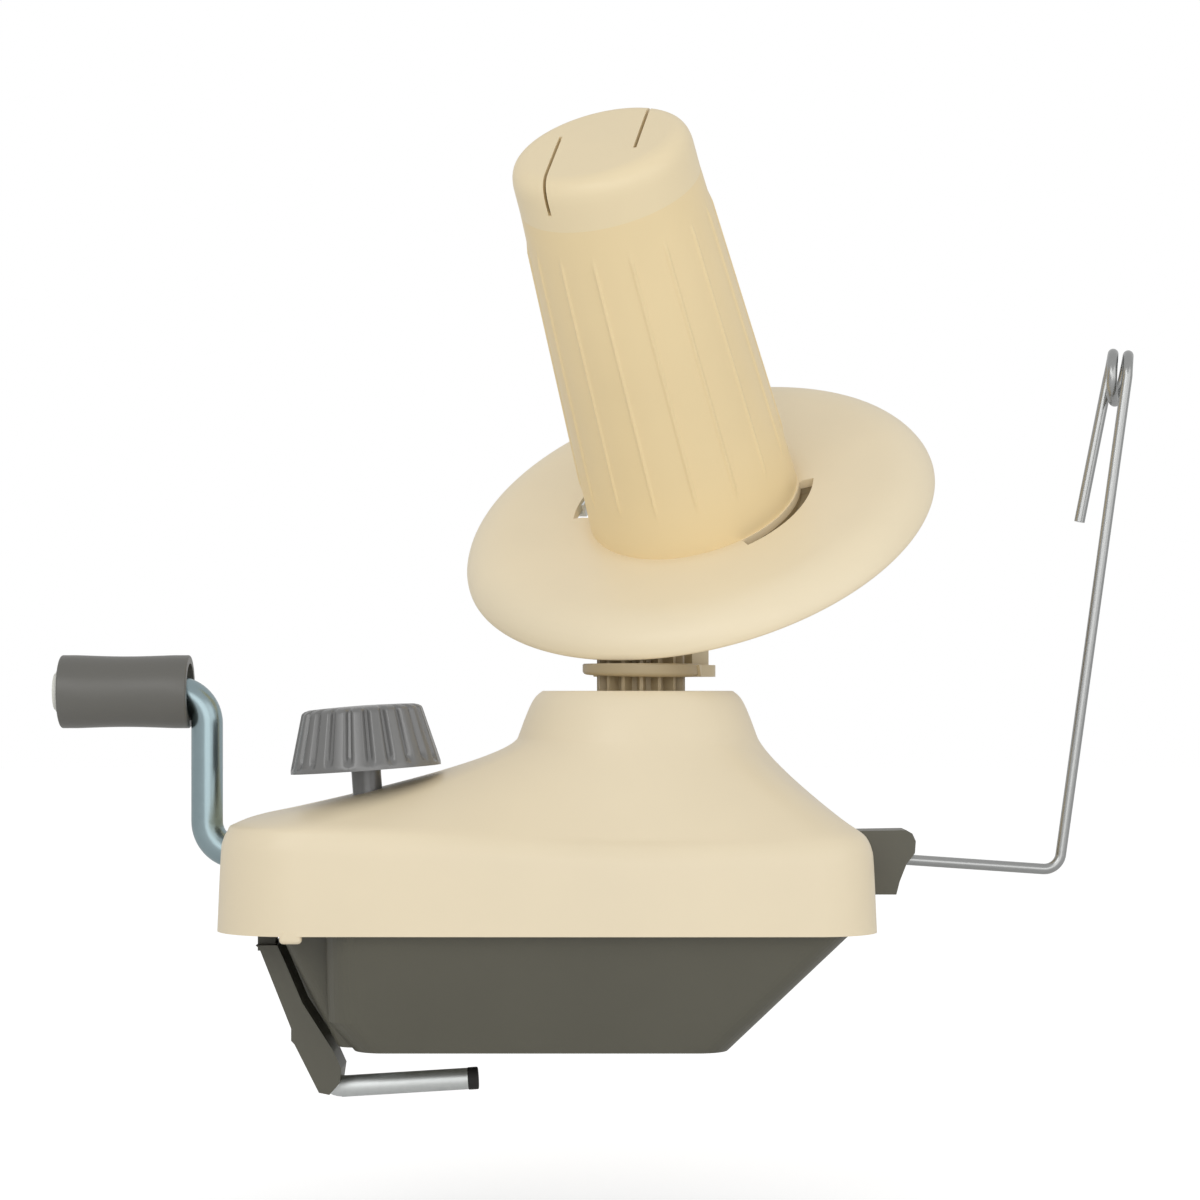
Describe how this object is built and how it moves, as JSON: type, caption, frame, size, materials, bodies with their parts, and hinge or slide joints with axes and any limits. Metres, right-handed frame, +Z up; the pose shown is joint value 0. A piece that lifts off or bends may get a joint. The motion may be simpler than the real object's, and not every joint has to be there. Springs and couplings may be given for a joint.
{
  "type": "yarn ball winder",
  "caption": "Table clamped yarn ball winder: hand crank, geared tilted cone and disc orbiting an upright spindle, knob driven clamp leg and bent wire yarn guide.",
  "frame": {"origin": "on the upright spindle's axis, in the plane of the base's flat bottom", "axes": "+Z up along the spindle, +X towards the yarn guide, the crank is at -X, the front is at -Y"},
  "size_m": [0.2581, 0.1279, 0.2317],
  "materials": {
    "cover_cream": "satin moulded plastic",
    "base_grey": "satin moulded plastic",
    "gear_cream": "plain moulded plastic",
    "zinc_rod": "bluish zinc plated",
    "nylon": "natural nylon",
    "steel": "bright",
    "grip_grey": "satin",
    "disc_cream": "satin moulded plastic",
    "cone_cream": "satin moulded plastic",
    "knob_grey": "satin",
    "nut_brass": "machined",
    "tip_rubber": "soft",
    "wire_steel": "drawn wire"
  },
  "bodies": {
    "housing": {"top_cover": "cover_cream", "base_shell": "base_grey", "neck_gear": "gear_cream", "cover_screws": "steel", "outer_crank_bush": "base_grey", "inner_crank_bush": "nylon", "shaft_foot_bush": "nylon", "guide_holder": "base_grey"},
    "crank": {"crank_rod": "zinc_rod", "crown_gear": "nylon", "crown_gear_pin": "steel", "crank_clip": "steel", "grip_end_cap": "nylon"},
    "grip": {"crank_grip": "grip_grey"},
    "flyer": {"drive_shaft": "steel", "drive_pinion": "nylon", "pinion_pin": "steel", "shaft_clip": "steel", "flyer_bracket": "gear_cream", "cone_spindle": "steel", "spindle_washer": "steel", "spindle_clip": "steel"},
    "head": {"winding_disc": "disc_cream", "winding_cone": "cone_cream", "cone_cap": "cover_cream", "cone_bushes": "nylon", "cone_screws": "steel", "spring_clip": "steel"},
    "knob": {"clamp_knob": "knob_grey", "clamp_screw": "steel", "screw_clip": "steel"},
    "jaw": {"clamp_jaw": "base_grey", "clamp_nut": "nut_brass", "clamp_rod": "steel", "clamp_tip": "tip_rubber"},
    "guide": {"guide_wire": "wire_steel"}
  },
  "joints": [
    {"name": "flyer_turn", "type": "hinge", "parent": "housing", "child": "flyer", "pos_m": [0, 0, 0.05], "axis": [0, 0, 1], "continuous": true},
    {"name": "crank_turn", "type": "hinge", "parent": "housing", "child": "crank", "pos_m": [-0.035, 0, 0.0437], "axis": [1, 0, 0], "continuous": true},
    {"name": "grip_turn", "type": "hinge", "parent": "crank", "child": "grip", "pos_m": [-0.1225, 0, 0.0821], "axis": [1, 0, 0], "continuous": true},
    {"name": "head_turn", "type": "hinge", "parent": "flyer", "child": "head", "pos_m": [0, 0, 0.174], "axis": [-0.2419, -0.5357, 0.809], "continuous": true},
    {"name": "knob_turn", "type": "hinge", "parent": "housing", "child": "knob", "pos_m": [-0.0598, -0.015, 0], "axis": [-0.0698, 0, 0.9976], "range_deg": [-720, 4680]},
    {"name": "jaw_slide", "type": "slide", "parent": "housing", "child": "jaw", "axis": [-0.0698, 0, 0.9976], "range_m": [-0.026, 0.004]},
    {"name": "guide_swing", "type": "hinge", "parent": "housing", "child": "guide", "pos_m": [0.0545, 0, 0.0427], "axis": [0.9977, 0, -0.068], "range_deg": [-90, 90]}
  ],
  "couplings": [
    {"joint": "crank_turn", "follows": "flyer_turn", "ratio": 0.24},
    {"joint": "head_turn", "follows": "flyer_turn", "ratio": -0.17442},
    {"joint": "knob_turn", "follows": "jaw_slide", "rad_per_m": -3141.6}
  ]
}
